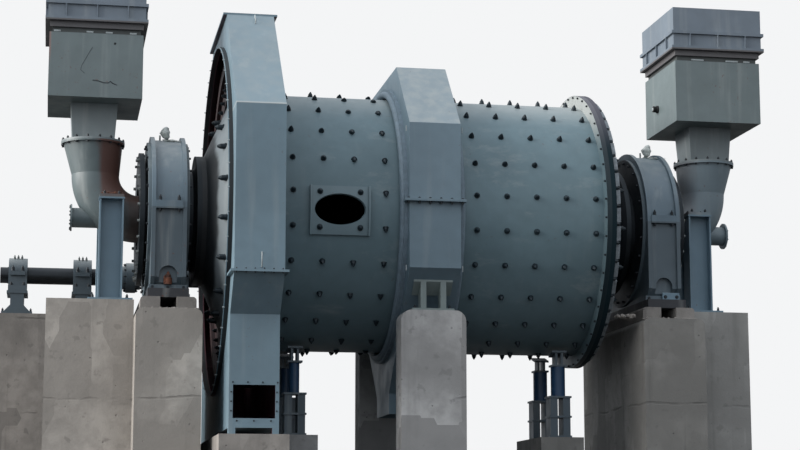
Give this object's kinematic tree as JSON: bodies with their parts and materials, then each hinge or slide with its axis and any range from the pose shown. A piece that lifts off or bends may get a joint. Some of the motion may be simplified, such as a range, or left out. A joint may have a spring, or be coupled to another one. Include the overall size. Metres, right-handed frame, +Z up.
{
  "type": "rod mill",
  "caption": "Rod mill: a horizontal drum on two trunnion bearings, fed at both ends and discharging at the middle, with gear drive, covers and piers.",
  "frame": {"origin": "on the ground under the middle of the mill, at the underside of the middle foundation", "axes": "+X along the mill axis towards the end without the gear, +Y away from the front, +Z up"},
  "size_m": [10.15, 5.3353, 8.47],
  "materials": {
    "mill_paint": "satin",
    "cover_paint": "satin",
    "chute_paint": "satin",
    "bearing_paint": "satin",
    "gear_primer": "matte",
    "drive_paint": "satin",
    "shaft_steel": "satin",
    "jack_paint": "satin",
    "packing_rubber": "matte",
    "concrete": "rough",
    "grout": "rough"
  },
  "bodies": {
    "structure": {"discharge_hood_lower": "cover_paint", "discharge_hood_upper": "cover_paint", "drive_bearing_stands": "drive_paint", "drive_pedestal": "concrete", "gear_guard_far": "cover_paint", "gear_guard_lower": "cover_paint", "gear_guard_near": "cover_paint", "gear_guard_top": "cover_paint", "guard_wall": "concrete", "hood_frames": "bearing_paint", "hood_packing_rings": "packing_rubber", "jack_cylinders": "jack_paint", "jack_saddles": "bearing_paint", "jack_stands": "bearing_paint", "left_bearing_cap": "bearing_paint", "left_bearing_housing": "bearing_paint", "left_bearing_pier": "concrete", "left_bearing_seals": "bearing_paint", "left_chute_stands": "bearing_paint", "left_feed_chute": "chute_paint", "left_feed_hopper": "chute_paint", "left_feed_pedestal": "concrete", "left_feed_spout": "chute_paint", "left_grout_blocks": "grout", "left_jack_wall": "concrete", "left_sole_plate": "bearing_paint", "left_upper_bin": "chute_paint", "middle_foundation": "concrete", "pinion_bearings": "drive_paint", "pinion_piers": "concrete", "right_bearing_cap": "bearing_paint", "right_bearing_housing": "bearing_paint", "right_bearing_pier": "concrete", "right_bearing_seals": "bearing_paint", "right_chute_stands": "bearing_paint", "right_feed_chute": "chute_paint", "right_feed_hopper": "chute_paint", "right_feed_pedestal": "concrete", "right_feed_spout": "chute_paint", "right_grout_blocks": "grout", "right_jack_wall": "concrete", "right_sole_plate": "bearing_paint", "right_upper_bin": "chute_paint", "shaft_bearings": "drive_paint"},
    "drum": {"shell": "mill_paint", "manhole_frame": "mill_paint", "left_head": "mill_paint", "right_head": "mill_paint", "left_trunnion": "mill_paint", "right_trunnion": "mill_paint", "girth_gear": "gear_primer"},
    "pinion_line": {"pinion": "shaft_steel", "drive_shaft": "shaft_steel", "shaft_coupling": "drive_paint"}
  },
  "joints": [
    {"name": "drum_spin", "type": "hinge", "parent": "structure", "child": "drum", "pos_m": [0, 0, 5.5], "axis": [1, 0, 0], "continuous": true},
    {"name": "pinion_spin", "type": "hinge", "parent": "structure", "child": "pinion_line", "pos_m": [-3, 2.35827, 5.0544], "axis": [1, 0, 0], "continuous": true}
  ],
  "couplings": [
    {"joint": "pinion_spin", "follows": "drum_spin", "ratio": -7}
  ]
}
